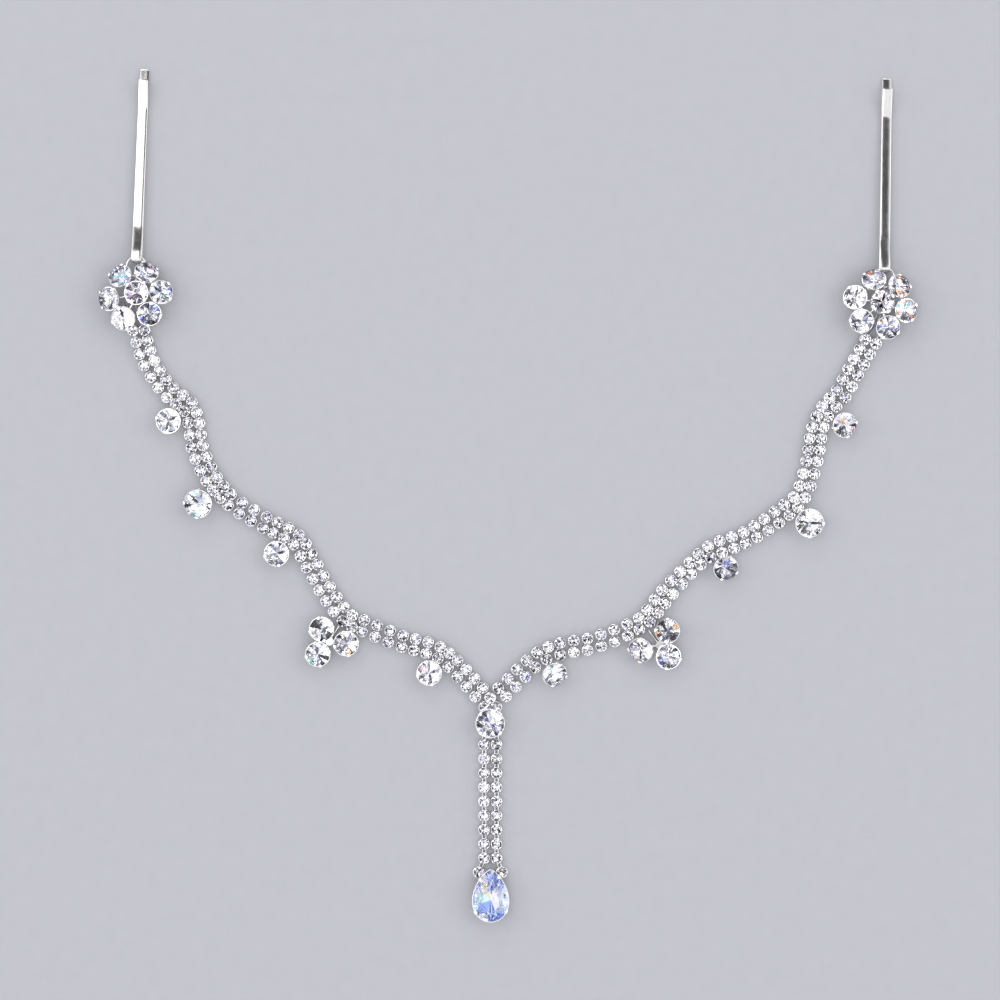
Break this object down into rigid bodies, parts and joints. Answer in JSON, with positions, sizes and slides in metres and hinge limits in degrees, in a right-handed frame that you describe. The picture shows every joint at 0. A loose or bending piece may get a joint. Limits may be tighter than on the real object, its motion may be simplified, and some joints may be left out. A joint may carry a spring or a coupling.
{
  "type": "hair chain",
  "caption": "Hair chain of cup-set clear stones: two hair pins with stone flowers, a wavy double row with round drops, and a straight centre strand ending in a pear-shaped stone.",
  "frame": {"origin": "back of the round centre setting, on the surface that the chain lies on", "axes": "+Y up the centre line towards the hair pins, away from the pear stone; +X to the right as the stones are seen; +Z out of the stones' faces, away from the surface"},
  "size_m": [0.2186, 0.2279, 0.0066],
  "materials": {
    "silver_plate": "bright silver-coloured plate",
    "pin_steel": "bright silver-coloured plate on spring steel",
    "clear_glass": "clear cut glass with a foil back",
    "pear_glass": "pale ice-blue cut glass with a foil back"
  },
  "bodies": {
    "root": {"left_hair_pin": "pin_steel", "right_hair_pin": "pin_steel", "left_pin_ring": "silver_plate", "right_pin_ring": "silver_plate", "left_flower_setting": "silver_plate", "right_flower_setting": "silver_plate", "left_flower_stone_1": "clear_glass", "left_flower_stone_2": "clear_glass", "left_flower_stone_3": "clear_glass", "left_flower_stone_4": "clear_glass", "left_flower_stone_5": "clear_glass", "left_flower_stone_6": "clear_glass", "left_flower_middle_stone": "clear_glass", "right_flower_stone_1": "clear_glass", "right_flower_stone_2": "clear_glass", "right_flower_stone_3": "clear_glass", "right_flower_stone_4": "clear_glass", "right_flower_stone_5": "clear_glass", "right_flower_stone_6": "clear_glass", "right_flower_middle_stone": "clear_glass", "left_chain_cups": "silver_plate", "right_chain_cups": "silver_plate", "left_chain_stones": "clear_glass", "right_chain_stones": "clear_glass", "left_drop_1_setting": "silver_plate", "left_drop_2_setting": "silver_plate", "left_drop_3_setting": "silver_plate", "left_drop_4_setting": "silver_plate", "right_drop_1_setting": "silver_plate", "right_drop_2_setting": "silver_plate", "right_drop_3_setting": "silver_plate", "right_drop_4_setting": "silver_plate", "left_drop_1_stone": "clear_glass", "left_drop_2_stone": "clear_glass", "left_drop_3_stone": "clear_glass", "left_drop_4_stone": "clear_glass", "right_drop_1_stone": "clear_glass", "right_drop_2_stone": "clear_glass", "right_drop_3_stone": "clear_glass", "right_drop_4_stone": "clear_glass", "left_cluster_setting": "silver_plate", "right_cluster_setting": "silver_plate", "left_cluster_stone_1": "clear_glass", "left_cluster_stone_2": "clear_glass", "left_cluster_stone_3": "clear_glass", "right_cluster_stone_1": "clear_glass", "right_cluster_stone_2": "clear_glass", "right_cluster_stone_3": "clear_glass", "centre_setting": "silver_plate", "centre_stone": "clear_glass", "drop_strand_cups": "silver_plate", "drop_strand_stones": "clear_glass", "pear_setting": "silver_plate", "pear_stone": "pear_glass"}
  },
  "joints": []
}
